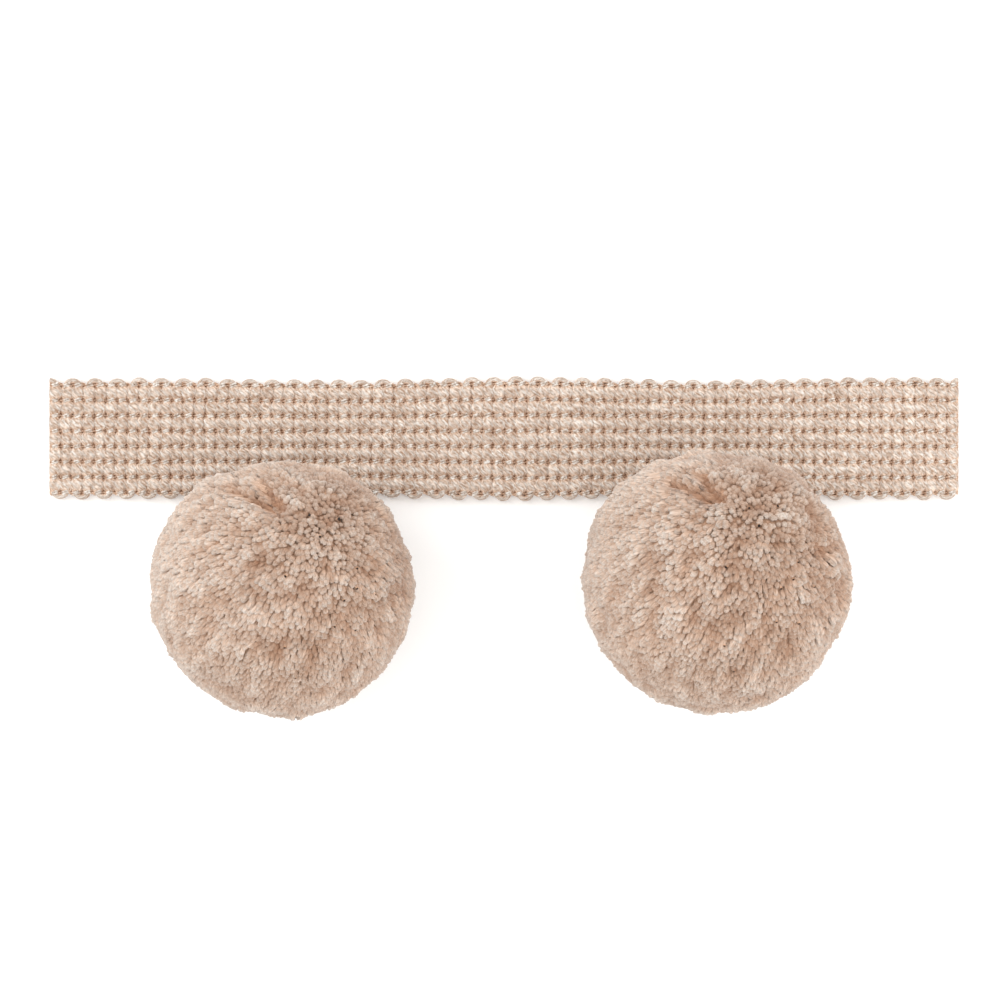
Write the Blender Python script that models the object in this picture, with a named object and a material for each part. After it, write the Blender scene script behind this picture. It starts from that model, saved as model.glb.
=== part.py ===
"""A cut length of pompom fringe trim, lying face up on a flat surface.

A ribbed crochet braid carries two cut-pile yarn pompoms on its lower edge. X runs
along the braid, Y across it towards its plain edge, and Z up from the surface.
Sizes are in metres. The origin is the middle of the whole outline, on the surface.
"""

import math
import random

import bmesh
import bpy
from mathutils import Matrix, Vector

MM = 0.001

# Braid: thick weft yarns cross it, and fine chain stitches bind them in lines along it
COURSE = 1.7 * MM  # from one crossing weft to the next
COURSES = 82
RIB_COUNT = 7
RIB_PITCH = 2.34 * MM
RIB_TOP = 2.0 * MM
CHAIN_TOP = 1.62 * MM
CHAIN_WIDTH = 0.7 * MM
GROOVE_TOP = 1.4 * MM
SHOULDER = 0.27  # share of a rib's width, and it stands at
SHOULDER_RISE = 0.78  # of the rise from the groove to the crest
LOOP_TOP = 1.6 * MM
LOOP_CREST = 1.1 * MM  # how far an edge loop stands out from the outer chain line
LOOP_VALLEY = 0.3 * MM
LOOP_ROUNDING = 0.35 * MM
BRAID_LENGTH = COURSES * COURSE
CHAIN_SPAN = RIB_COUNT * RIB_PITCH  # between the two outer chain lines
LOOP_COUNT = COURSES // 2  # a weft turns round once for each two courses
LOOP_PITCH = BRAID_LENGTH / LOOP_COUNT
LOOPS_A_PANEL = 3  # the long ribs need fewer steps than the edges do
LOWER, UPPER = -1, 1
# Where an edge's outline has points, as shares of a loop. The upper loops lie half a
# loop along from the lower ones, because the same weft turns at each edge by turns.
LOOP_POINTS = {LOWER: (0.0, 0.14, 0.5, 0.86), UPPER: (0.0, 0.36, 0.5, 0.64)}
LOOP_SHIFT = {LOWER: 0.0, UPPER: 0.5}
EDGE_WANDER = 0.25 * MM  # how far the soft edges stray from straight
WANDER_WAVES = 2.1

# Pompoms: ball centres from the middle of the braid, and half widths
PILE_GAP = 0.3 * MM  # between the pile and what it leans on
CORE_RADIUS = 13.5 * MM
LOCKS_ACROSS = 5  # locks along each side of the six patches, so 150 a ball
LOCK_GAP = 0.62 * MM  # between neighbours at their roots
LOCK_SCATTER = 0.035  # how far a lock's corners stray from an even grid on a unit ball
DOME_DEPTH = 1.5 * MM
CAP_WIDTH = 0.62  # of a lock's width, at its domed tip
LOCK_UNEVEN = 0.35 * MM
LOCK_LEAN = 0.22 * MM
SEAT_REACH = 1.05 * MM  # how much longer the pile is where it leans on the braid
SEAT_SPREAD = math.radians(17)
POMPOMS = {
    "pompom_left": {
        "along": -33.5 * MM,
        "below": 22.5 * MM,
        "half_width": 19.7 * MM,
        "half_height": 20.2 * MM,
        "ride_height": 18.2 * MM,
        "roll": 0.35,
        "seed": 11,
    },
    "pompom_right": {
        "along": 32.1 * MM,
        "below": 21.6 * MM,
        "half_width": 20.1 * MM,
        "half_height": 20.1 * MM,
        "ride_height": 18.3 * MM,
        "roll": 1.2,
        "seed": 23,
    },
}

BRAID_HALF = CHAIN_SPAN / 2 + LOOP_CREST
LOWEST = max(ball["below"] + ball["half_height"] for ball in POMPOMS.values())
BRAID_Y = (LOWEST - BRAID_HALF) / 2  # puts the origin in the middle of the outline

YARN_COLOUR = {"braid": (0.66, 0.51, 0.42, 1.0), "pile": (0.58, 0.41, 0.31, 1.0)}
YARN_ROUGHNESS = 0.9


def clear_scene():
    for obj in list(bpy.data.objects):
        bpy.data.objects.remove(obj, do_unlink=True)


def yarn_material(name):
    material = bpy.data.materials.new(name + "_yarn")
    material.use_nodes = True
    shader = material.node_tree.nodes["Principled BSDF"]
    shader.inputs["Base Color"].default_value = YARN_COLOUR[name]
    shader.inputs["Roughness"].default_value = YARN_ROUGHNESS
    shader.inputs["Metallic"].default_value = 0.0
    return material


def add_object(name, bm, material, place):
    """Stores the bmesh as an object's mesh, with its normals out, and frees it."""
    bmesh.ops.recalc_face_normals(bm, faces=bm.faces[:])
    mesh = bpy.data.meshes.new(name)
    bm.to_mesh(mesh)
    bm.free()
    mesh.materials.append(material)
    obj = bpy.data.objects.new(name, mesh)
    obj.location = place
    bpy.context.scene.collection.objects.link(obj)
    return obj


def wander(x):
    """How far the braid's edge is from straight at x: soft yarn is never quite even."""
    turn = 2 * math.pi * x / BRAID_LENGTH
    return EDGE_WANDER * (0.6 * math.cos(WANDER_WAVES * turn) + 0.4 * math.sin(3 * turn + 1))


def rib_profile():
    """(distance from the lower chain line, height) across the face: ribs and chain ridges."""
    chain_half = CHAIN_WIDTH / 2
    shoulder_top = GROOVE_TOP + SHOULDER_RISE * (RIB_TOP - GROOVE_TOP)
    one_rib = (
        (0.0, CHAIN_TOP),
        (chain_half, GROOVE_TOP),
        (SHOULDER * RIB_PITCH, shoulder_top),
        (0.5 * RIB_PITCH, RIB_TOP),
        ((1 - SHOULDER) * RIB_PITCH, shoulder_top),
        (RIB_PITCH - chain_half, GROOVE_TOP),
    )
    points = [(rib * RIB_PITCH + y, z) for rib in range(RIB_COUNT) for y, z in one_rib]
    return points + [(CHAIN_SPAN, CHAIN_TOP)]


def rib_row(bm, x):
    """Vertices across the ribbed face at x, from the lower chain line to the upper."""
    row = []
    for y, z in rib_profile():
        across = 2 * y / CHAIN_SPAN - 1  # -1 on the lower line, 1 on the upper
        row.append(bm.verts.new((x, y - CHAIN_SPAN / 2 + across * wander(x), z)))
    return row


def loop_reach(side, share):
    """How far an edge loop stands out from the outer chain line, at a share of its length."""
    place = (share + LOOP_SHIFT[side]) % 1.0
    bulge = math.sqrt(max(0.0, 1 - (2 * place - 1) ** 2))
    return LOOP_VALLEY + (LOOP_CREST - LOOP_VALLEY) * bulge


def rim_stack(bm, side, x, reach):
    """Vertices round the rim of one edge at x: face, upper rim, lower rim, back."""
    line = side * (CHAIN_SPAN / 2 + wander(x))
    rounding = min(LOOP_ROUNDING, reach * 0.8)
    levels = (
        (reach - rounding, LOOP_TOP),
        (reach, LOOP_TOP - LOOP_ROUNDING),
        (reach, LOOP_ROUNDING),
        (reach - rounding, 0.0),
    )
    return [bm.verts.new((x, line + side * out, z)) for out, z in levels]


def edge_rim(bm, side):
    """The stacks along a whole edge, four a loop and one at the far cut end."""
    start = -BRAID_LENGTH / 2
    stacks = []
    for loop in range(LOOP_COUNT):
        for share in LOOP_POINTS[side]:
            x = start + (loop + share) * LOOP_PITCH
            stacks.append(rim_stack(bm, side, x, loop_reach(side, share)))
    stacks.append(rim_stack(bm, side, -start, loop_reach(side, 0.0)))
    return stacks


def close_panel(bm, near, far, rims):
    """Faces between two rib rows: ribs, the margins out to the rims, rims and back."""
    for i in range(len(near) - 1):
        bm.faces.new((near[i], far[i], far[i + 1], near[i + 1]))
    for side, chain in ((LOWER, 0), (UPPER, -1)):
        stacks = rims[side]
        bm.faces.new([near[chain], far[chain]] + [stack[0] for stack in reversed(stacks)])
        for here, after in zip(stacks, stacks[1:]):
            for level in range(len(here) - 1):
                corners = (here[level], after[level], after[level + 1], here[level + 1])
                bm.faces.new(corners)
    back = [stack[-1] for stack in rims[LOWER]] + [stack[-1] for stack in reversed(rims[UPPER])]
    bm.faces.new(back)


def make_braid():
    """One closed solid: ribbed face, looped edges, flat back and two cut ends."""
    bm = bmesh.new()
    seams = list(range(0, LOOP_COUNT, LOOPS_A_PANEL)) + [LOOP_COUNT]
    rows = [rib_row(bm, -BRAID_LENGTH / 2 + seam * LOOP_PITCH) for seam in seams]
    rims = {side: edge_rim(bm, side) for side in (LOWER, UPPER)}
    points = len(LOOP_POINTS[LOWER])
    for panel, (first, last) in enumerate(zip(seams, seams[1:])):
        span = slice(first * points, last * points + 1)
        stacks = {side: rims[side][span] for side in rims}
        close_panel(bm, rows[panel], rows[panel + 1], stacks)
    for end in (0, -1):
        bm.faces.new(rims[LOWER][end][::-1] + rows[end] + rims[UPPER][end])
    return add_object("braid", bm, yarn_material("braid"), (0.0, BRAID_Y, 0.0))


def seat_direction(ball):
    """From the ball's centre to the edge loops of the braid, where the pile leans on them."""
    return Vector((0.0, ball["below"] - BRAID_HALF, LOOP_TOP - ball["ride_height"]))


def pile_radius(ball, way, uneven):
    """Length of the pile from the ball's centre along the unit vector way."""
    wide, tall = ball["half_width"], ball["half_height"]
    radius = 1 / math.sqrt((way.x**2 + way.z**2) / wide**2 + way.y**2 / tall**2) + uneven
    seat = seat_direction(ball)
    reach = SEAT_REACH * math.exp(-((way.angle(seat) / SEAT_SPREAD) ** 2))
    radius = min(radius + reach, max(radius, seat.length - PILE_GAP))
    if way.z < 0:
        radius = min(radius, -ball["ride_height"] / way.z)
    return radius


def patch_ball(rng):
    """A ball of six square patches with radius 1, its grid a little uneven as yarn is."""
    bm = bmesh.new()
    bmesh.ops.create_cube(bm, size=2.0)
    bmesh.ops.subdivide_edges(bm, edges=bm.edges[:], cuts=LOCKS_ACROSS - 1, use_grid_fill=True)
    for vert in bm.verts:
        even = Vector([math.tan(math.pi / 4 * value) for value in vert.co]).normalized()
        stray = Vector([rng.uniform(-1, 1) for _ in range(3)]) * LOCK_SCATTER
        vert.co = (even + stray).normalized()
    return bm


def place_ring(face, ball, depth, width, lean, uneven):
    """Moves a lock's free face out to depth below the pile's surface."""
    middle = sum((vert.co for vert in face.verts), Vector()) / len(face.verts)
    heart = middle.normalized()
    for vert in face.verts:
        way = (heart + (vert.co.normalized() - heart) * width).normalized()
        way = (way * ball["half_width"] + lean).normalized()
        vert.co = way * (pile_radius(ball, way, uneven) - depth)


def grow_lock(bm, root, ball, rng):
    """Extrudes one four-sided lock from its root face, leaning a little, with a domed tip."""
    heart = root.calc_center_median().normalized()
    stray = Vector([rng.uniform(-1, 1) for _ in range(3)])
    lean = (stray - heart * stray.dot(heart)).normalized() * LOCK_LEAN * rng.random()
    uneven = rng.uniform(-LOCK_UNEVEN, LOCK_UNEVEN)
    face = root
    for depth, width, ring_lean in ((DOME_DEPTH, 1.0, lean), (0.0, CAP_WIDTH, Vector())):
        grown = bmesh.ops.extrude_discrete_faces(bm, faces=[face])
        face = grown["faces"][0]
        place_ring(face, ball, depth, width, ring_lean, uneven)


def make_pompom(name, ball, material):
    """A core with cut yarn locks all round it, resting on the surface and on the braid."""
    rng = random.Random(ball["seed"])
    bm = patch_ball(rng)
    bm.faces.ensure_lookup_table()
    seat = seat_direction(ball)
    aim = bm.faces[0].calc_center_median().rotation_difference(seat)
    turn = Matrix.Rotation(ball["roll"], 4, seat) @ aim.to_matrix().to_4x4()
    bmesh.ops.transform(bm, matrix=Matrix.Scale(CORE_RADIUS, 4) @ turn, verts=bm.verts[:])
    roots = bm.faces[:]
    bmesh.ops.inset_individual(bm, faces=roots, thickness=LOCK_GAP / 2, use_even_offset=True)
    for root in roots:
        grow_lock(bm, root, ball, rng)
    place = (ball["along"], BRAID_Y - ball["below"], ball["ride_height"])
    return add_object(name, bm, material, place)


def main():
    clear_scene()
    make_braid()
    pile = yarn_material("pile")
    for name, ball in POMPOMS.items():
        make_pompom(name, ball, pile)


main()
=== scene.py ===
"""Pompom fringe trim, dressed in yarn.

A crochet braid of crossing wefts and chain stitches, and two cut-pile pompoms, are
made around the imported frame, which gives every place and size. Metres throughout.
"""

import math

import bmesh
import bpy
import numpy as np
from mathutils import Euler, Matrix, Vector
from mathutils.kdtree import KDTree


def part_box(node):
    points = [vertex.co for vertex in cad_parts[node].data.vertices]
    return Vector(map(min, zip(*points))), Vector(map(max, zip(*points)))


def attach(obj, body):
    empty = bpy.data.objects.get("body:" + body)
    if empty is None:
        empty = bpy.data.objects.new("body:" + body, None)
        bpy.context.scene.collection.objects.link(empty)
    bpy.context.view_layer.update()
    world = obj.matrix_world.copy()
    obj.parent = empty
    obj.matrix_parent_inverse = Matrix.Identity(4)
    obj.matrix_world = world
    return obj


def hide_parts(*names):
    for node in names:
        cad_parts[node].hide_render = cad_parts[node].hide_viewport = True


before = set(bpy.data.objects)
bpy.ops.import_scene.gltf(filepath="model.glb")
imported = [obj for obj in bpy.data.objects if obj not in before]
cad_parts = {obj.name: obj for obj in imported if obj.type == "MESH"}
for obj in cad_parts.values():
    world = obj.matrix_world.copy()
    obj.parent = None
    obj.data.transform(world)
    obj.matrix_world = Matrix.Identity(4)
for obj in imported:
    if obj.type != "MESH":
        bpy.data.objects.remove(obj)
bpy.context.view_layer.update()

bl_info = {
    "name": "Pompom Fringe Trim",
    "version": (1, 0, 0),
    "blender": (4, 5, 0),
    "location": "3D View > Sidebar > Trim",
    "description": "Makes a crochet braid with two yarn pompoms around a packed frame",
    "category": "Add Mesh",
}

MM = 0.001
GOLDEN_TURN = math.pi * (3 - math.sqrt(5))
BAKE_MAP = "OFBake"
BODY = "root"

# Pile
STRAND_SIDES = 5
OPENING = 0.18  # how much wider apart and thicker the yarn ends are where the fan opens
# Rings of a yarn end, from its root to its tip: place along it, share of its thickness,
# and how lit it is painted, as painted shade that darkens it towards its root down between the yarn ends
STRAND_ALONG = (0.0, 0.76, 0.94, 1.0)
STRAND_WIDTH = (0.85, 1.0, 0.72, 0.0)
STRAND_LIT = (0.4, 0.6, 0.85, 1.0)
# How lit a yarn end is painted, from 0 to 1, as painted light and shade: a base, and what is added for
# clumps, lumps and its height (painted shade in the hollows), its distance from where the fan opens
# (painted highlight towards the rim) and its nearness to the side that faces the key light (painted
# light)
LIT_BASE = 0.76
LIT_GAINS = (0.1, 0.06, 0.1, 0.1, 0.15)
# Painted shade in the partings
LIT_PARTED = 0.4  # what is taken off in a parting
LIT_LEAST = 0.15
# Its tone, from 0 to 1: a base, and what is added for clumps and lumps (painted shade in the hollows),
# its distance from where the fan opens (painted highlight towards the rim) and its nearness to the side
# that faces the key light (painted light)
TINT_BASE = 0.36
TINT_GAINS = (0.22, 0.16, 0.25, 0.38)
# Painted shade on the core, seen down between the yarn ends
CORE_LIT = 0.3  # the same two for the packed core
CORE_TINT = 0.4
FAN_DRAW = 0.45  # the smaller, the longer the clumps are along the fan
STRAY = 0.08  # how much single yarn ends lean from their tuft
PART_LEAN = 0.3  # how far yarn ends lean away from a parting
FIBRE_AROUND = 2.2  # size of a yarn end in its streaks' pattern, across
FIBRE_ALONG = 2.4  # and along
ROOT_DEPTH = 0.8 * MM  # how far a yarn end is sunk in the core
PILE_CLEAR = 0.5 * MM  # from the tips of the pile to the braid and the floor
FLAT_SIDE = 1.2 * MM  # how far the ball is flattened on the side that lies over the braid
BROAD_LUMPS = 0.2 * MM  # how uneven the ball is as a whole
BALLS = ("pompom_left", "pompom_right")
# Places on a ball as seen from above: across and up, in shares of its half width
PARTINGS = (
    # start, end, depth
    ((-0.40, 0.76), (-0.07, 0.61), 1.7 * MM),
    ((-0.16, 0.81), (0.02, 0.63), 1.6 * MM),
)
PARTING_WIDTH = 1.05 * MM
# Painted light: the pile is painted paler on the side that faces the key light
PAINTED_LIGHT_SIDE = (-0.8, 0.5, 0.0)  # way to the side where the pile is palest
# Painted shadows of deep gaps in the pile: dark spots, each made by the dark tip of one yarn end
PIT_SHADOWS = (
    (0.30, 0.40),
    (0.45, 0.54),
    (0.24, 0.56),
    (0.04, 0.08),
    (0.58, 0.00),
    (0.48, -0.08),
    (0.72, -0.06),
    (0.42, -0.31),
    (0.58, -0.34),
    (0.05, -0.47),
    (0.13, -0.69),
    (0.59, 0.14),
)
PIT_RISE = 0.1 * MM  # how far such a yarn end stands out
PIT_SHARE = 0.6  # share of its thickness that it keeps

# Braid
PLY_POINTS = 2  # points around each ply of the weft, the last one in the groove
WEFT_MIDDLE = 0.96 * MM  # height of the weft's centre line
# How full the weft stands, at distances from a chain line in shares of a rib
WEFT_BULGE = ((0.0, 0.12, 0.27, 0.5), (0.0, 0.3, 0.92, 1.0))
WEFT_FILL = 1.65  # width of the weft in the middle of a rib, in courses
LOOP_HALF_WIDTH = 0.42 * MM
LOOP_HALF_HEIGHT = 0.6 * MM
GROUND_TOP = 0.85 * MM
# Chain stitch: its two crossing threads, and the one beneath them
CHAIN_APART = 0.17 * MM  # from each crossing thread to the chain line
CHAIN_SWAY = 0.15 * MM  # how far they sway to the sides
CHAIN_LOW = 0.55 * MM  # their height between wefts
CHAIN_RISE = 0.92 * MM  # and how far they rise over one
UNDER_HIGH = 1.0 * MM  # height of the thread beneath, between wefts
UNDER_DROP = 0.72 * MM  # and how far it drops under one

# Yarn of both kinds: what its colour is multiplied by where its tone is 0 and where it is 1; the tone is
# random, with painted shade and light added in the pompoms
SHADES = ((0.62, 0.52, 0.46), (1.10, 1.12, 1.14))

# Lights
LIGHT_SIZE = 0.6
KEY_PLACE = (-0.75, 0.3, 0.75)
SIDE_PLACE = (0.8, -0.25, 0.35)


# Properties that a user would change


class BraidSettings(bpy.types.PropertyGroup):
    courses: bpy.props.IntProperty(
        name="Courses", description="Weft yarns that cross the braid", default=82, min=2
    )
    ribs: bpy.props.IntProperty(
        name="Ribs", description="Ribs across the braid, between chain lines", default=7, min=1
    )
    rib_pitch: bpy.props.FloatProperty(
        name="Rib pitch",
        description="From one chain line to the next",
        default=2.34 * MM,
        unit="LENGTH",
    )
    yarn_height: bpy.props.FloatProperty(
        name="Weft height",
        description="Thickness of a weft in the middle of a rib",
        default=1.86 * MM,
        unit="LENGTH",
    )
    pinch_height: bpy.props.FloatProperty(
        name="Pinched height",
        description="Thickness of a weft where a chain stitch binds it",
        default=0.8 * MM,
        unit="LENGTH",
    )
    pinch_width: bpy.props.FloatProperty(
        name="Pinched width",
        description="Share of the course that a weft fills at a chain line",
        default=0.56,
        subtype="FACTOR",
    )
    loop_crest: bpy.props.FloatProperty(
        name="Loop crest",
        description="How far the edge loops stand out from the outer chain line",
        default=1.1 * MM,
        unit="LENGTH",
    )
    plies: bpy.props.IntProperty(
        name="Plies", description="Plies twisted together in the weft", default=10, min=2
    )
    ply_groove: bpy.props.FloatProperty(
        name="Ply groove",
        description="Height of the grooves between plies, as a share of the weft's",
        default=0.87,
        subtype="FACTOR",
    )
    ply_twist: bpy.props.FloatProperty(
        name="Ply twist",
        description="Length of weft in which its plies turn round once",
        default=12.0 * MM,
        unit="LENGTH",
    )
    thread: bpy.props.FloatProperty(
        name="Chain thread",
        description="Thickness of each thread in a chain stitch",
        default=0.36 * MM,
        unit="LENGTH",
    )
    wander: bpy.props.FloatProperty(
        name="Edge wander",
        description="How far the soft edges stray from straight",
        default=0.25 * MM,
        unit="LENGTH",
    )
    shear: bpy.props.FloatProperty(
        name="Shear",
        description="How far a weft's lower end lies to the left of its upper end",
        default=0.3 * MM,
        unit="LENGTH",
    )


class PileSettings(bpy.types.PropertyGroup):
    strands: bpy.props.IntProperty(
        name="Strands", description="Yarn ends in each pompom", default=11000, min=100
    )
    thickness: bpy.props.FloatProperty(
        name="Yarn end", description="Thickness of a yarn end", default=0.93 * MM, unit="LENGTH"
    )
    length: bpy.props.FloatProperty(
        name="Free length",
        description="Length of each yarn end above the packed core",
        default=0.7 * MM,
        unit="LENGTH",
    )
    tie: bpy.props.FloatVectorProperty(
        name="Tie",
        description="Where the yarn ends spring from, measured from the ball's middle",
        default=(5.0 * MM, 8.5 * MM, 7.0 * MM),
        subtype="TRANSLATION",
    )
    tuft: bpy.props.IntProperty(
        name="Tuft", description="Yarn ends that lean together as one tuft", default=3, min=1
    )
    comb: bpy.props.FloatProperty(
        name="Comb",
        description="How far the yarn ends lie down, away from the place where the fan opens",
        default=0.25,
        subtype="FACTOR",
    )
    ruffle: bpy.props.FloatProperty(
        name="Ruffle",
        description="How much the tufts lean from an even fan",
        default=0.1,
        subtype="FACTOR",
    )
    softness: bpy.props.FloatProperty(
        name="Softness",
        description="How far the yarn ends are shaded as one soft surface",
        default=0.86,
        subtype="FACTOR",
    )
    uneven: bpy.props.FloatProperty(
        name="Uneven cut",
        description="How much the yarn ends differ in height",
        default=0.17 * MM,
        unit="LENGTH",
    )
    lumps: bpy.props.FloatProperty(
        name="Lumps",
        description="How high the soft lumps of the pile stand",
        default=0.28 * MM,
        unit="LENGTH",
    )
    clumps: bpy.props.FloatProperty(
        name="Clumps",
        description="How high the small clumps of yarn ends stand",
        default=0.12 * MM,
        unit="LENGTH",
    )


class ColourSettings(bpy.types.PropertyGroup):
    braid: bpy.props.FloatVectorProperty(
        name="Braid",
        description="Colour of the braid's yarn where the light meets it",
        default=(0.655, 0.61, 0.55),
        subtype="COLOR",
    )
    # Painted shade: the colour the braid's yarn is given down its holes and folds
    braid_painted_shade: bpy.props.FloatVectorProperty(
        name="Braid, deep",
        description="Colour of the braid's yarn in its holes and folds",
        default=(0.71, 0.49, 0.34),
        subtype="COLOR",
    )
    pile: bpy.props.FloatVectorProperty(
        name="Pompom",
        description="Colour of the pompoms at the tips of the yarn",
        default=(0.535, 0.48, 0.425),
        subtype="COLOR",
    )
    # Painted shade: the colour the pompoms are given down between the yarn ends
    pile_painted_shade: bpy.props.FloatVectorProperty(
        name="Pompom, deep",
        description="Colour of the pompoms down between the yarn ends",
        default=(0.63, 0.385, 0.245),
        subtype="COLOR",
    )
    # Painted shadow: the near-black colour of the dark spots that stand for deep gaps in the pile
    pit_shadow: bpy.props.FloatVectorProperty(
        name="Pits",
        description="Colour of the few bare spots deep in the pile",
        default=(0.03, 0.02, 0.015),
        subtype="COLOR",
    )
    floor: bpy.props.FloatVectorProperty(
        name="Floor", description="Colour of the floor", default=(0.93, 0.93, 0.92), subtype="COLOR"
    )


class StageSettings(bpy.types.PropertyGroup):
    lens: bpy.props.FloatProperty(
        name="Lens", description="Focal length of the camera, in millimetres", default=262.0
    )
    height: bpy.props.FloatProperty(
        name="Camera height", description="Above the floor", default=1.1175, unit="LENGTH"
    )
    aim: bpy.props.FloatVectorProperty(
        name="Aim",
        description="Place on the floor under the camera",
        default=(-0.6 * MM, 7.3 * MM, 0.0),
        subtype="TRANSLATION",
    )
    key: bpy.props.FloatProperty(
        name="Key light", description="Power of the large soft light", default=3.2, unit="POWER"
    )
    side: bpy.props.FloatProperty(
        name="Side light", description="Power of the light on the other side", default=1.7, unit="POWER"
    )
    fill: bpy.props.FloatProperty(
        name="Sky", description="Strength of the even light from all round", default=1.33
    )
    glow: bpy.props.FloatProperty(
        name="Floor glow", description="Light from the floor itself, as on a light table", default=0.08
    )


# Meshes from arrays


def unit(vectors):
    """The vectors at length 1."""
    return vectors / np.maximum(np.linalg.norm(vectors, axis=-1, keepdims=True), 1e-12)


def cell_places(strands, rings, sides, cuts, pointed):
    """Bake-map places of every face corner: each strand, cut in lengths, fills cells of a grid.

    Returns the places of the side quads, of the point's triangles and of the caps.
    """
    spans = rings - 1
    per_cut = math.ceil(spans / cuts)
    cells = strands * cuts
    across = math.ceil(math.sqrt(cells))
    size = 1 / across
    edge = 0.07
    strand, span, side = np.meshgrid(
        np.arange(strands), np.arange(spans), np.arange(sides), indexing="ij"
    )
    cell = strand * cuts + span // per_cut
    corner = np.stack([cell % across, cell // across], -1)[..., None, :]
    low = (span % per_cut) / per_cut
    high = low + 1 / per_cut
    left, right = side / sides, (side + 1) / sides
    u = np.stack([left, right, right, left], -1)
    v = 0.08 + 0.92 * np.stack([low, low, high, high], -1)
    inner = edge + (1 - 2 * edge) * np.stack([u, v], -1)
    quads = (corner + inner) * size
    last = quads[:, -1]
    if pointed:
        tips = last[:, :, :3].copy()
        tips[:, :, 2] = (last[:, :, 2] + last[:, :, 3]) / 2
        quads = quads[:, :-1]
    else:
        tips = None
    turn = np.arange(sides) / sides
    box = np.stack([turn, 0.03 * (1 - np.cos(2 * np.pi * turn))], -1)
    first_cell = np.arange(strands) * cuts
    last_cell = first_cell + cuts - 1
    caps = []
    for chosen in (first_cell, last_cell):
        place = np.stack([chosen % across, chosen // across], -1)[:, None]
        caps.append((place + edge + (1 - 2 * edge) * box) * size)
    return quads, tips, caps


def swept_mesh(name, rings, material, pointed=False, cuts=1, **values):
    """Joined closed strands as one object.

    rings holds strands x rings x sides x 3 places. Each strand is capped at both ends,
    or drawn to one point at its last ring. values are stored as point attributes, each
    strands x rings x sides, or with 3 numbers for a vector. cuts is how many lengths a
    strand is cut into on the bake map.
    """
    strands, count, sides = rings.shape[:3]
    held = count - 1 if pointed else count
    start = (np.arange(strands) * (held * sides + pointed))[:, None, None]
    ring = (np.arange(held - 1) * sides)[None, :, None]
    here = np.arange(sides)[None, None, :]
    after = (here + 1) % sides
    low, high = start + ring, start + ring + sides
    quads = np.stack([low + here, low + after, high + after, high + here], -1)
    quad_places, tip_places, cap_places = cell_places(strands, count, sides, cuts, pointed)
    foot = start[:, 0] + here[0, :, ::-1]
    faces = [(quads.reshape(-1, 4), quad_places.reshape(-1, 4, 2)), (foot, cap_places[0])]
    top = start[:, 0] + (held - 1) * sides
    if pointed:
        point = np.broadcast_to(start[:, 0] + held * sides, (strands, sides))
        tips = np.stack([top + here[0], top + after[0], point], -1)
        faces.append((tips.reshape(-1, 3), tip_places.reshape(-1, 3, 2)))
    else:
        faces.append((top + here[0], cap_places[1]))
    mesh = mesh_from_faces(name, by_point(rings, held).reshape(-1, 3), faces)
    for key, value in values.items():
        set_attribute(mesh, key, by_point(value, held))
    return add_piece(name, mesh, material)


def by_point(value, held):
    """Values of the held rings' points, strand by strand, with a point's as its ring's mean."""
    points = value[:, :held].reshape(len(value), -1, *value.shape[3:])
    if held < value.shape[1]:
        points = np.concatenate([points, value[:, -1:].mean(2)], 1)
    return points


def set_attribute(mesh, key, value):
    """Stores one number, or one vector, for each point."""
    numbers = np.asarray(value, np.float32).ravel()
    if len(numbers) == 1:
        numbers = np.repeat(numbers, len(mesh.vertices))
    if len(numbers) == len(mesh.vertices):
        mesh.attributes.new(key, "FLOAT", "POINT").data.foreach_set("value", numbers)
    else:
        mesh.attributes.new(key, "FLOAT_VECTOR", "POINT").data.foreach_set("vector", numbers)


def mesh_from_faces(name, points, faces):
    """A smooth mesh from points and groups of equal-sided faces with their map places."""
    mesh = bpy.data.meshes.new(name)
    corners = np.concatenate([group.ravel() for group, _ in faces])
    totals = np.concatenate([np.full(len(group), group.shape[1]) for group, _ in faces])
    starts = np.concatenate([[0], np.cumsum(totals)[:-1]])
    mesh.vertices.add(len(points))
    mesh.vertices.foreach_set("co", points.astype(np.float32).ravel())
    mesh.loops.add(len(corners))
    mesh.loops.foreach_set("vertex_index", corners.astype(np.int32))
    mesh.polygons.add(len(totals))
    mesh.polygons.foreach_set("loop_start", starts.astype(np.int32))
    mesh.update(calc_edges=True)
    places = np.concatenate([place.reshape(-1, 2) for _, place in faces])
    layer = mesh.uv_layers.new(name=BAKE_MAP)
    layer.data.foreach_set("uv", places.astype(np.float32).ravel())
    mesh.shade_smooth()
    mesh.validate()
    return mesh


def points_of(mesh):
    """The mesh's points as an array."""
    points = np.empty(len(mesh.vertices) * 3, np.float32)
    mesh.vertices.foreach_get("co", points)
    return points.reshape(-1, 3).astype(float)


def add_piece(name, mesh, material):
    """Links a finished mesh as an object that moves with the trim's body."""
    mesh.materials.append(material)
    obj = bpy.data.objects.new(name, mesh)
    bpy.context.scene.collection.objects.link(obj)
    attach(obj, BODY)
    return obj


# Materials


def new_yarn_material(name, sheen):
    material = bpy.data.materials.new(name)
    material.use_nodes = True
    shader = material.node_tree.nodes["Principled BSDF"]
    shader.inputs["Roughness"].default_value = 0.9
    shader.inputs["Specular IOR Level"].default_value = 0.15
    shader.inputs["Sheen Weight"].default_value = sheen
    shader.inputs["Sheen Roughness"].default_value = 0.45
    shader.inputs["Sheen Tint"].default_value = (1.0, 0.92, 0.86, 1.0)
    return material, material.node_tree, shader


def attribute(tree, name, output="Fac"):
    node = tree.nodes.new("ShaderNodeAttribute")
    node.attribute_name = name
    return node.outputs[output]


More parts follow.
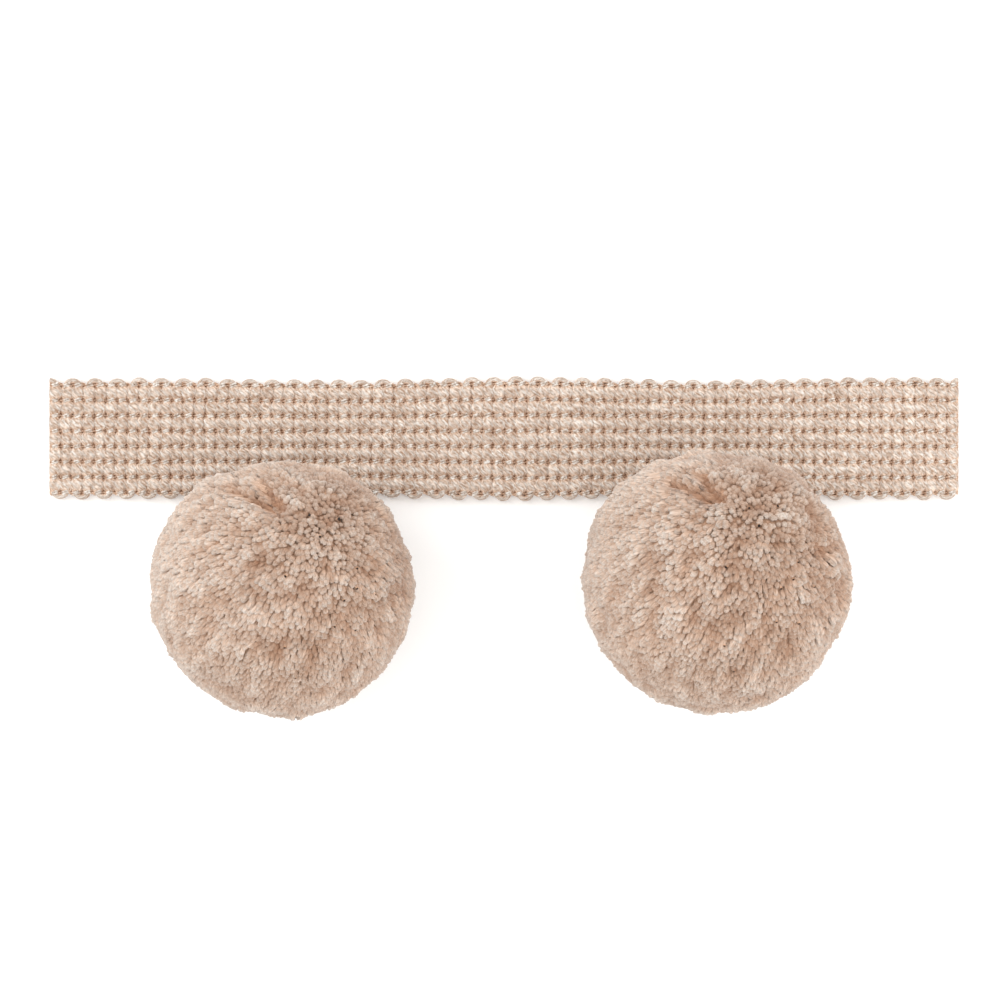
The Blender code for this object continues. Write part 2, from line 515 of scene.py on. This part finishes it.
def mix_colour(tree, factor, low, high, blend="MIX"):
    node = tree.nodes.new("ShaderNodeMix")
    node.data_type = "RGBA"
    node.blend_type = blend
    for socket, value in ((node.inputs["Factor"], factor), (node.inputs[6], low), (node.inputs[7], high)):
        if isinstance(value, (int, float)):
            socket.default_value = value
        elif isinstance(value, bpy.types.NodeSocket):
            tree.links.new(value, socket)
        else:
            socket.default_value = (*value, 1.0)
    return node.outputs[2]


def colour_ramp(tree, factor, stops):
    """Colours blended between stops of place and colour."""
    node = tree.nodes.new("ShaderNodeValToRGB")
    elements = node.color_ramp.elements
    while len(elements) < len(stops):
        elements.new(1.0)
    for element, (place, colour) in zip(elements, stops):
        element.position = place
        element.color = (*colour, 1.0)
    tree.links.new(factor, node.inputs["Fac"])
    return node.outputs["Color"]


def fibre_streaks(tree, detail=3.0):
    """Noise from 0 to 1 on the attribute fibre, whose streaks run along the yarn."""
    noise = tree.nodes.new("ShaderNodeTexNoise")
    noise.inputs["Scale"].default_value = 1.0
    noise.inputs["Detail"].default_value = detail
    tree.links.new(attribute(tree, "fibre", "Vector"), noise.inputs["Vector"])
    stretch = tree.nodes.new("ShaderNodeMapRange")
    stretch.inputs["From Min"].default_value = 0.32
    stretch.inputs["From Max"].default_value = 0.68
    tree.links.new(noise.outputs["Fac"], stretch.inputs["Value"])
    return stretch.outputs["Result"]


def add_bump(tree, shader, height, strength, distance):
    bump = tree.nodes.new("ShaderNodeBump")
    bump.inputs["Strength"].default_value = strength
    bump.inputs["Distance"].default_value = distance
    tree.links.new(height, bump.inputs["Height"])
    tree.links.new(bump.outputs["Normal"], shader.inputs["Normal"])


def yarn_material(name, bright, deep, pit_shadow, sheen, streak):
    """Matt yarn, coloured by three attributes of its points.

    lit is how lit a point is painted, as painted light and shade, from the dark spots' painted shadow
    through the painted shade of the folds to the lit yarn; the tone attribute is its strand's random
    tone, with painted shade and light added in the pompoms; and fibre is its place in the pattern of fine
    streaks, which are as strong as streak.
    """
    material, tree, shader = new_yarn_material(name, sheen)
    # Painted light and shade: from the dark spots' painted shadow, through the painted shade of the
    # folds, to the lit yarn
    folds = colour_ramp(tree, attribute(tree, "lit"), ((0.0, pit_shadow), (0.12, deep), (1.0, bright)))
    shades = mix_colour(tree, attribute(tree, "tint"), *SHADES)
    shaded = mix_colour(tree, 1.0, folds, shades, "MULTIPLY")
    streaks = fibre_streaks(tree)
    dark = [1 - streak * drop for drop in (0.26, 0.32, 0.36)]
    pale = [1 + streak * rise for rise in (0.10, 0.13, 0.16)]
    hairs = mix_colour(tree, streaks, dark, pale)
    colour = mix_colour(tree, 1.0, shaded, hairs, "MULTIPLY")
    tree.links.new(colour, shader.inputs["Base Color"])
    add_bump(tree, shader, streaks, 0.5, 0.06 * MM)
    return material


# Pompoms


def even_ball(count, rng, scatter):
    """Unit vectors spread evenly over a ball, each moved by up to scatter spacings."""
    step = np.arange(count) + 0.5
    z = 1 - 2 * step / count
    ring = np.sqrt(1 - z * z)
    turn = step * GOLDEN_TURN
    places = np.stack([ring * np.cos(turn), ring * np.sin(turn), z], 1)
    spacing = math.sqrt(4 * math.pi / count)
    return unit(places + rng.uniform(-1, 1, (count, 3)) * spacing * scatter)


def soft_noise(places, rng, waves, scale):
    """Smooth values between about -1 and 1 from a few random waves through the places."""
    total = np.zeros(len(places))
    for _ in range(waves):
        way = unit(rng.normal(size=3)) * scale * rng.uniform(0.6, 1.4)
        total += np.sin(places @ way + rng.uniform(0, 2 * math.pi))
    return total / math.sqrt(waves / 2) / 1.5


def nearest(places, centres):
    """For each place, the index of the nearest of the centres."""
    tree = KDTree(len(centres))
    for index, centre in enumerate(centres):
        tree.insert(centre, index)
    tree.balance()
    return np.array([tree.find(place)[1] for place in places])


def on_ball(across, up):
    """Unit way to a place on the ball's upper side."""
    return np.array([across, up, math.sqrt(1 - across * across - up * up)])


class Ball:
    """Where one pompom lies, read from its node's box, and the soft surface of its pile."""

    def __init__(self, node, seed, settings):
        low, high = (np.array(corner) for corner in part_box(node))
        self.seed = seed
        self.lumps = settings.lumps
        self.clumps = settings.clumps
        self.tie = np.array(settings.tie)
        self.pole = unit(self.tie)
        self.half = (high[0] - low[0]) / 2
        self.middle = np.array([(low[0] + high[0]) / 2, (low[1] + high[1]) / 2, high[2] - self.half])
        braid_low, braid_high = (np.array(corner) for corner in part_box("braid"))
        self.edge = braid_low[1]
        self.face = braid_high[2]

    def reach(self, ways, radius, gap):
        """The radius along each way, cut short at the floor and at the braid."""
        down = np.minimum(ways[:, 2], -1e-6)
        out = np.maximum(ways[:, 1], 1e-6)
        floor = (gap - self.middle[2]) / down
        beside = (self.edge - gap - self.middle[1]) / out
        above = (self.face + gap - self.middle[2]) / down
        over = np.maximum(beside, above)
        return np.minimum(np.minimum(radius, floor), over)

    def surface(self, ways):
        """Along each way: radius of the pile, how high its lumps and clumps stand, how far it
        is parted and which way it parts."""
        rng = np.random.default_rng(self.seed)
        lump = soft_noise(ways, rng, waves=30, scale=18.0)
        clump = soft_noise(self.fanned(ways), rng, waves=50, scale=45.0)
        radius = self.half + BROAD_LUMPS * soft_noise(ways, rng, waves=14, scale=7.0)
        radius += self.lumps * lump + self.clumps * clump
        radius -= FLAT_SIDE * np.clip(4 * ways[:, 1] - 3, 0, 1)
        parted = np.zeros(len(ways))
        aside = np.zeros(ways.shape)
        for start, end, depth in PARTINGS:
            near, off = self.parting(ways, on_ball(*start), on_ball(*end))
            radius -= depth * near
            parted = np.maximum(parted, near)
            aside += off * near[:, None]
        return radius, lump, clump, parted, aside

    def fanned(self, ways):
        """The ways drawn together along the fan, so that noise on them is longer that way."""
        level = unit(np.cross(self.pole, (0.0, 0.0, 1.0)))
        from_pole = np.arccos(np.clip(ways @ self.pole, -1, 1))
        across = np.cross(self.pole, level)
        return np.stack([ways @ level, ways @ across, FAN_DRAW * from_pole], 1)

    def normals(self, ways):
        """The soft surface's own outward ways, with its lumps, clumps and partings."""
        step = 0.01
        radius = self.surface(ways)[0]
        side = unit(np.cross(ways, (0.31, 0.55, 0.78)))
        total = ways * radius[:, None]
        for way in (side, np.cross(ways, side)):
            slope = (self.surface(unit(ways + step * way))[0] - radius) / step
            total -= way * slope[:, None]
        return unit(total)

    def parting(self, ways, start, end):
        """How near each way is to a parting, from 0 to 1, and its direction away from it."""
        line = end - start
        share = np.clip((ways - start) @ line / (line @ line), 0, 1)
        off = ways - (start + share[:, None] * line)
        far = np.linalg.norm(off, axis=1) * self.half / PARTING_WIDTH
        return np.exp(-far * far), unit(off)


def weighted(gains, *values):
    """The sum of the values, each times its gain."""
    return sum(gain * value for gain, value in zip(gains, values))


def make_pile(ball, node, settings, material):
    """The yarn ends of one pompom, in an upper and a lower piece."""
    rng = np.random.default_rng(ball.seed)
    ways = unit(even_ball(settings.strands, rng, scatter=0.42) - OPENING * ball.pole)
    tufts = even_ball(settings.strands // settings.tuft, rng, scatter=0.5)
    tuft = nearest(ways, tufts)
    radius, lump, clump, parted, aside = ball.surface(ways)
    cut = rng.uniform(-1, 0.6, len(ways))
    rise = rng.normal(0, 0.3, len(tufts))[tuft]
    radius += settings.uneven * (cut + rise)
    pit_shadows = nearest(np.array([on_ball(*place) for place in PIT_SHADOWS]), ways)
    radius[pit_shadows] += PIT_RISE
    tips = ball.middle + ways * ball.reach(ways, radius, PILE_CLEAR)[:, None]
    fan = unit(tips - ball.middle - ball.tie)
    down = settings.comb * ((ways @ ball.pole)[:, None] * ways - ball.pole)
    ruffle = rng.normal(0, settings.ruffle, tufts.shape)[tuft] + rng.normal(0, STRAY, ways.shape)
    lay = unit(fan + down + ruffle + PART_LEAN * aside)
    lean = np.maximum((lay * ways).sum(1, keepdims=True), 0.5)
    roots = tips - lay * (settings.length + ROOT_DEPTH) / lean
    half = settings.thickness / 2 * rng.uniform(0.7, 1.15, len(lay))
    half *= 1 + OPENING * (ways @ ball.pole)
    half[pit_shadows] *= PIT_SHARE
    rings = strand_rings(roots, tips, lay, half, rng)
    shape = rings.shape[:3]
    # Painted highlight towards the ball's rim, away from where the fan opens
    rim_highlight = 1 - np.clip(ways @ ball.pole, 0, 1)
    # Painted light on the side that faces the key light
    pale = np.clip(ways @ PAINTED_LIGHT_SIDE, 0, 1)
    # Painted light and shade: a yarn end is paler on clumps, lumps and where it stands higher, towards
    # the rim and on the side that faces the key light, and darker in hollows and partings
    bright = LIT_BASE + weighted(LIT_GAINS, clump, lump, cut + rise, rim_highlight, pale) - LIT_PARTED * parted
    lit = np.clip(bright, LIT_LEAST, 1)[:, None] * np.array(STRAND_LIT)
    # Painted shadow: the last ring and the tip of each such yarn end take the near-black colour of the
    # dark spots
    lit[pit_shadows, -2:] = 0
    drift = soft_noise(ways, rng, waves=10, scale=9.0)
    # Its tone: random, with painted shade added in hollows and partings and painted light towards the rim
    # and on the side that faces the key light
    tint = TINT_BASE + 0.06 * drift + rng.uniform(-0.15, 0.15, len(ways))
    tint += weighted(TINT_GAINS, clump, lump, rim_highlight, pale) + parted * (0.3 - 2.0 * parted)
    fibre = np.empty((*shape, 3))
    turn = np.arange(STRAND_SIDES) * 2 * math.pi / STRAND_SIDES
    fibre[..., 0] = FIBRE_AROUND * np.cos(turn)
    fibre[..., 1] = FIBRE_AROUND * np.sin(turn)
    fibre[..., 2] = FIBRE_ALONG * np.array(STRAND_ALONG)[None, :, None]
    fibre += rng.uniform(0, 100, (len(ways), 1, 1, 3))
    values = {
        "lit": np.broadcast_to(lit[..., None], shape),
        "tint": np.broadcast_to(np.clip(tint, 0, 1)[:, None, None], shape),
        "fibre": fibre,
    }
    upper = ways[:, 2] > 0
    for part, chosen in (("upper", upper), ("lower", ~upper)):
        chosen_values = {key: value[chosen] for key, value in values.items()}
        obj = swept_mesh(f"{node}_pile_{part}", rings[chosen], material, pointed=True, **chosen_values)
        soften_normals(obj.data, ball, settings.softness)
        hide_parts(node)


def strand_rings(roots, tips, lay, half, rng):
    """Rings of points around each yarn end, from its root to its tip."""
    side = unit(np.cross(lay, unit(rng.normal(size=lay.shape))))
    other = np.cross(lay, side)
    turn = (np.arange(STRAND_SIDES) * 2 * math.pi / STRAND_SIDES)[None, :, None]
    outline = np.cos(turn) * side[:, None] + np.sin(turn) * other[:, None]
    along = np.array(STRAND_ALONG)[None, :, None]
    centres = roots[:, None] + (tips - roots)[:, None] * along
    width = half[:, None] * np.array(STRAND_WIDTH)
    return centres[:, :, None] + outline[:, None] * width[..., None, None]


def soften_normals(mesh, ball, share):
    """Turns the normals part of the way to the soft surface's, as fine fibres spread the light."""
    own = np.empty(len(mesh.vertices) * 3, np.float32)
    mesh.vertex_normals.foreach_get("vector", own)
    surface = ball.normals(unit(points_of(mesh) - ball.middle))
    soft = unit(own.reshape(-1, 3) * (1 - share) + surface * share)
    mesh.normals_split_custom_set_from_vertices(soft)


def make_core(ball, node, settings, material):
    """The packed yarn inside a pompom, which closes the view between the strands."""
    mesh = bpy.data.meshes.new(node + "_core")
    bm = bmesh.new()
    bmesh.ops.create_icosphere(bm, subdivisions=5, radius=1.0)
    bm.to_mesh(mesh)
    bm.free()
    ways = unit(points_of(mesh))
    radius, _, _, parted, _ = ball.surface(ways)
    radius = ball.reach(ways, radius - settings.length, PILE_CLEAR + settings.length)
    points = ball.middle + ways * radius[:, None]
    mesh.vertices.foreach_set("co", points.astype(np.float32).ravel())
    mesh.shade_smooth()
    # Painted shade: the core takes the colour down between the yarn ends, darker still under the partings
    set_attribute(mesh, "lit", CORE_LIT)
    set_attribute(mesh, "tint", CORE_TINT * (1 - parted))
    set_attribute(mesh, "fibre", points / (0.3 * MM))
    obj = add_piece(node + "_core", mesh, material)
    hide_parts(node)


# Braid


class Band:
    """The braid's place and pitches, worked out from its node's box and the settings."""

    def __init__(self, settings):
        low, high = (np.array(corner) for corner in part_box("braid"))
        self.start = low[0]
        self.end = high[0]
        self.middle_y = (low[1] + high[1]) / 2
        self.course = (self.end - self.start) / settings.courses
        self.span = settings.ribs * settings.rib_pitch
        self.wander = settings.wander
        self.shear = settings.shear

    def place(self, points):
        """Moves points made about the braid's middle line to their place, as uneven as it is."""
        turn = 2 * math.pi * points[..., 0] / (self.end - self.start)
        stray = self.wander * (0.6 * np.cos(2.1 * turn) + 0.4 * np.sin(3 * turn + 1))
        across = np.clip(2 * points[..., 1] / self.span, -1, 1)
        from_end = np.minimum(points[..., 0] - self.start, self.end - points[..., 0])
        placed = points.copy()
        placed[..., 0] += self.shear / 2 * across * np.clip(from_end / (2 * self.course), 0, 1)
        placed[..., 0] = np.clip(placed[..., 0], self.start, self.end)
        placed[..., 1] += across * stray + self.middle_y
        return placed


def weft_crossing(band, settings, course, rng):
    """One crossing of the weft, from the lower edge up.

    Each row holds a place, half the width, half the height and how lit it is painted, with painted shade
    where a chain line pinches the weft.
    """
    steps_a_rib = 6
    share = np.arange(settings.ribs * steps_a_rib + 1) / steps_a_rib
    rib = np.minimum(share.astype(int), settings.ribs - 1)
    from_line = np.abs(share - np.round(share))
    bulge = np.interp(from_line, *WEFT_BULGE)
    drift = rng.uniform(-0.12, 0.12, settings.ribs)[rib] * MM
    lift = rng.uniform(-0.03, 0.1, settings.ribs)[rib] * MM
    wide = rng.uniform(-0.07, 0.12, settings.ribs)[rib]
    half_course = band.course / 2
    x = band.start + (course + 0.5) * band.course + drift * bulge
    y = (share - settings.ribs / 2) * settings.rib_pitch
    z = WEFT_MIDDLE + lift * bulge
    pinched = settings.pinch_height / 2
    half_width = half_course * (settings.pinch_width + (WEFT_FILL - settings.pinch_width + wide) * bulge)
    half_height = pinched + (settings.yarn_height / 2 - pinched) * bulge
    return np.stack([x, y, z, half_width, half_height, 0.15 + 0.85 * bulge], 1)


def weft_turn(band, settings, x, side, first, last, rng):
    """A turn of the weft at an edge, about x, from first to last share of the half circle."""
    steps = 7
    theta = math.pi * np.arange(round(first * steps) + 1, round(last * steps)) / steps
    crest = settings.loop_crest - LOOP_HALF_WIDTH + rng.uniform(-0.12, 0.08) * MM
    rows = np.empty((len(theta), 6))
    rows[:, 0] = x - band.course / 2 * np.cos(theta)
    rows[:, 1] = side * (band.span / 2 + crest * np.sin(theta) ** 0.8)
    rows[:, 2] = WEFT_MIDDLE - 0.08 * MM
    rows[:, 3] = LOOP_HALF_WIDTH
    rows[:, 4] = LOOP_HALF_HEIGHT
    # Painted light and shade: brightest at the loop's crest, darker where it joins the crossings
    rows[:, 5] = 1.3 * np.sin(theta) ** 0.4
    return rows


def weft_path(band, settings, rng):
    """The weft from end to end: down the first course, up the second, and so on."""
    rows = []
    for course in range(settings.courses):
        side = -1 if course % 2 == 0 else 1
        rows.append(weft_crossing(band, settings, course, rng)[::side])
        if course < settings.courses - 1:
            x = band.start + (course + 1) * band.course
            rows.append(weft_turn(band, settings, x, side, 0, 1, rng))
    rows.insert(0, end_turn(band, settings, band.start, 1, rng)[::-1])
    last_side = -1 if settings.courses % 2 else 1
    rows.append(end_turn(band, settings, band.end, last_side, rng))
    return np.concatenate(rows)


def end_turn(band, settings, x, side, rng):
    """Half a turn, cut off at the braid's end, from the last crossing to the cut."""
    half = weft_turn(band, settings, 0.0, side, 0, 0.5, rng)
    cut = half[-1:].copy()
    cut[0, 0] = 0.0
    cut[0, 1] = side * (band.span / 2 + settings.loop_crest - LOOP_HALF_WIDTH)
    half = np.concatenate([half, cut])
    outward = 1 if x > 0 else -1
    half[:, 0] = x + outward * half[:, 0]
    return half


def pressed(wave):
    """A cosine or sine with its sides filled out, for yarns that press on each other."""
    return np.sign(wave) * np.abs(wave) ** 0.6


def make_weft(band, settings, material):
    """One soft plied yarn that crosses the braid again and again and turns at its edges."""
    rng = np.random.default_rng(5)
    path = weft_path(band, settings, rng)
    centre, half_width, half_height = path[:, :3], path[:, 3], path[:, 4]
    ahead = unit(np.gradient(centre, axis=0))
    level = unit(np.cross(ahead, (0.0, 0.0, 1.0)))
    length = np.concatenate([[0], np.cumsum(np.linalg.norm(np.diff(centre, axis=0), axis=1))])
    sides = settings.plies * PLY_POINTS
    around = np.arange(sides) * 2 * math.pi / sides
    angle = around + (length / settings.ply_twist * 2 * math.pi)[:, None]
    grooved = np.arange(sides) % PLY_POINTS == PLY_POINTS - 1
    scale = np.where(grooved, settings.ply_groove, 1.0)
    out = pressed(np.cos(angle)) * scale * half_width[:, None]
    up = pressed(np.sin(angle)) * scale * half_height[:, None]
    rings = centre[:, None] + out[..., None] * level[:, None]
    rings[..., 2] += up
    # Painted light and shade: the weft is darker on its sides, on the side of the edge loops that faces
    # into the braid, in the grooves between its plies and where a chain line pinches it
    flank = np.clip(np.abs(np.sin(angle)) * 1.6 - 0.3, 0.6, 1)
    inward = -np.cos(angle) * (level[:, 1] * np.sign(centre[:, 1]))[:, None]
    within = 1 - np.clip(1.3 * inward, 0, 1)
    lit = np.clip(path[:, 5, None] * flank * within * np.where(grooved, 0.6, 1.0), 0.12, 1)
    knots = np.arange(0, length[-1] + 3 * MM, 1.5 * MM)
    tint = np.interp(length, knots, rng.uniform(0.5, 0.9, len(knots)))
    fibre = np.empty((*angle.shape, 3))
    fibre[..., 0] = 5.5 * np.cos(around)
    fibre[..., 1] = 5.5 * np.sin(around)
    fibre[..., 2] = (length / (0.5 * MM))[:, None]
    return swept_mesh(
        "braid_weft",
        band.place(rings)[None],
        material,
        cuts=settings.courses,
        lit=lit[None],
        tint=np.broadcast_to(tint[:, None], angle.shape)[None],
        fibre=fibre[None],
    )


def chain_paths(band, settings, rng):
    """Threads of the chain lines: two that cross over each weft, and one beneath it."""
    steps = 6
    count = settings.courses * steps + 1
    x = np.linspace(band.start, band.end, count)
    course = np.minimum(np.arange(count) // steps, settings.courses - 1)
    phase = (x - band.start) / band.course * 2 * math.pi
    crest = np.clip(1.3 * np.abs(np.sin(phase / 2)) - 0.12, 0, 1)
    paths = []
    for line in range(settings.ribs + 1):
        y = (line - settings.ribs / 2) * settings.rib_pitch
        for side in (-1, 1):
            stray = rng.uniform(-0.05, 0.05, settings.courses)[course] * MM
            lift = rng.uniform(-0.06, 0.03, settings.courses)[course] * MM
            across = y + side * CHAIN_APART - CHAIN_SWAY * np.sin(phase) + stray * crest
            paths.append(np.stack([x, across, CHAIN_LOW + (CHAIN_RISE + lift) * crest], 1))
        paths.append(np.stack([x, np.full(count, y), UNDER_HIGH - UNDER_DROP * crest], 1))
    return np.array(paths)


def make_chains(band, settings, material):
    """Chain stitches in lines along the braid."""
    rng = np.random.default_rng(8)
    centres = chain_paths(band, settings, rng)
    ahead = unit(np.gradient(centres, axis=1))
    level = unit(np.cross(ahead, (0.0, 0.0, 1.0)))
    upright = np.cross(level, ahead)
    sides = 5
    turn = np.arange(sides) * 2 * math.pi / sides
    ring = np.cos(turn)[:, None] * level[:, :, None] + np.sin(turn)[:, None] * upright[:, :, None]
    rings = centres[:, :, None] + settings.thread / 2 * ring
    shape = rings.shape[:3]
    # Painted shade: the chain threads are darker the lower they lie, where they dive between the wefts
    lit = np.clip((centres[..., 2] - 0.9 * MM) / (0.45 * MM), 0.12, 0.95)
    fibre = rings / (0.35 * MM)
    return swept_mesh(
        "braid_chains",
        band.place(rings),
        material,
        cuts=settings.courses,
        lit=np.broadcast_to(lit[..., None], shape),
        tint=np.broadcast_to(rng.uniform(0.6, 1, shape[:2])[..., None], shape),
        fibre=fibre,
    )


def make_ground(band, material):
    """Thin inner layer of the braid, hidden between the yarns, that closes its holes."""
    mesh = bpy.data.meshes.new("braid_ground")
    bm = bmesh.new()
    bmesh.ops.create_grid(bm, x_segments=60, y_segments=8, size=0.5)
    length, width = band.end - band.start, band.span - 0.4 * MM
    bmesh.ops.scale(bm, vec=(length - 0.3 * MM, width, 1.0), verts=bm.verts[:])
    bmesh.ops.translate(bm, vec=(0.0, band.middle_y, GROUND_TOP), verts=bm.verts[:])
    bmesh.ops.solidify(bm, geom=bm.faces[:], thickness=0.16 * MM)
    bmesh.ops.recalc_face_normals(bm, faces=bm.faces[:])
    bm.to_mesh(mesh)
    bm.free()
    # Painted shade: the ground takes the braid's shade colour, as seen down its holes
    set_attribute(mesh, "lit", 0.12)
    set_attribute(mesh, "tint", 0.5)
    set_attribute(mesh, "fibre", points_of(mesh) / (0.3 * MM))
    return add_piece("braid_ground", mesh, material)


# Operators


class TRIM_OT_braid(bpy.types.Operator):
    """Make the braid: its ground, weft and chain stitches"""

    bl_idname = "trim.braid"
    bl_label = "Make Braid"

    def execute(self, context):
        settings = context.scene.trim_braid
        colours = context.scene.trim_colours
        band = Band(settings)
        material = yarn_material(
            "braid_yarn", colours.braid, colours.braid_painted_shade, colours.pit_shadow, sheen=0.1, streak=1.9
        )
        ground = make_ground(band, material)
        weft = make_weft(band, settings, material)
        chains = make_chains(band, settings, material)
        for piece in (ground, weft, chains):
            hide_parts("braid")
        return {"FINISHED"}


class TRIM_OT_pompoms(bpy.types.Operator):
    """Make the pile and the core of both pompoms"""

    bl_idname = "trim.pompoms"
    bl_label = "Make Pompoms"

    def execute(self, context):
        settings = context.scene.trim_pile
        colours = context.scene.trim_colours
        material = yarn_material(
            "pompom_yarn", colours.pile, colours.pile_painted_shade, colours.pit_shadow, sheen=0.35, streak=1.1
        )
        for seed, node in enumerate(BALLS, start=1):
            ball = Ball(node, seed, settings)
            make_pile(ball, node, settings, material)
            make_core(ball, node, settings, material)
        return {"FINISHED"}


class TRIM_OT_stage(bpy.types.Operator):
    """Make the floor, the lights and the camera"""

    bl_idname = "trim.stage"
    bl_label = "Make Stage"

    def execute(self, context):
        settings = context.scene.trim_stage
        make_floor(context.scene.trim_colours.floor, settings.glow)
        make_lights(context.scene, settings)
        make_camera(context.scene, settings)
        return {"FINISHED"}


def make_floor(colour, glow):
    mesh = bpy.data.meshes.new("stage_floor")
    bm = bmesh.new()
    bmesh.ops.create_grid(bm, x_segments=1, y_segments=1, size=3.0)
    bm.to_mesh(mesh)
    bm.free()
    material = bpy.data.materials.new("stage_floor")
    material.use_nodes = True
    shader = material.node_tree.nodes["Principled BSDF"]
    shader.inputs["Base Color"].default_value = (*colour, 1.0)
    shader.inputs["Roughness"].default_value = 1.0
    shader.inputs["Specular IOR Level"].default_value = 0.0
    shader.inputs["Emission Color"].default_value = (1.0, 1.0, 1.0, 1.0)
    shader.inputs["Emission Strength"].default_value = glow
    mesh.materials.append(material)
    obj = bpy.data.objects.new("stage_floor", mesh)
    bpy.context.scene.collection.objects.link(obj)


def add_area_light(name, power, size, place, aim):
    light = bpy.data.lights.new(name, "AREA")
    light.energy = power
    light.size = size
    obj = bpy.data.objects.new(name, light)
    obj.location = place
    obj.rotation_euler = (Vector(aim) - Vector(place)).to_track_quat("-Z", "Y").to_euler()
    bpy.context.scene.collection.objects.link(obj)
    return obj


def make_lights(scene, settings):
    add_area_light("key_light", settings.key, LIGHT_SIZE, KEY_PLACE, (0, 0, 0))
    add_area_light("side_light", settings.side, LIGHT_SIZE, SIDE_PLACE, (0, 0, 0))
    world = bpy.data.worlds.new("studio")
    world.use_nodes = True
    background = world.node_tree.nodes["Background"]
    background.inputs["Color"].default_value = (1.0, 1.0, 1.0, 1.0)
    background.inputs["Strength"].default_value = settings.fill
    scene.world = world
    scene.view_settings.view_transform = "Standard"


def make_camera(scene, settings):
    camera = bpy.data.cameras.new("camera")
    camera.lens = settings.lens
    camera.sensor_width = 36.0
    camera.clip_end = 10.0
    obj = bpy.data.objects.new("camera", camera)
    obj.location = Vector(settings.aim) + Vector((0.0, 0.0, settings.height))
    obj.rotation_euler = Euler((0.0, 0.0, 0.0))
    scene.collection.objects.link(obj)
    scene.camera = obj


class TRIM_PT_panel(bpy.types.Panel):
    """Lists the steps that make the trim"""

    bl_idname = "TRIM_PT_panel"
    bl_label = "Pompom Fringe Trim"
    bl_space_type = "VIEW_3D"
    bl_region_type = "UI"
    bl_category = "Trim"

    def draw(self, context):
        for operator in OPERATORS:
            self.layout.operator(operator.bl_idname)
        for name in SETTINGS:
            group = getattr(context.scene, name)
            for key in group.__annotations__:
                self.layout.prop(group, key)


OPERATORS = (TRIM_OT_braid, TRIM_OT_pompoms, TRIM_OT_stage)
SETTINGS = {
    "trim_braid": BraidSettings,
    "trim_pile": PileSettings,
    "trim_colours": ColourSettings,
    "trim_stage": StageSettings,
}


def register():
    for item in (*SETTINGS.values(), *OPERATORS, TRIM_PT_panel):
        bpy.utils.register_class(item)
    for name, group in SETTINGS.items():
        setattr(bpy.types.Scene, name, bpy.props.PointerProperty(type=group))


def unregister():
    for name in SETTINGS:
        delattr(bpy.types.Scene, name)
    for item in (TRIM_PT_panel, *OPERATORS, *SETTINGS.values()):
        bpy.utils.unregister_class(item)


def main():
    register()
    bpy.ops.trim.stage()
    bpy.ops.trim.braid()
    bpy.ops.trim.pompoms()


if __name__ == "__main__":
    main()
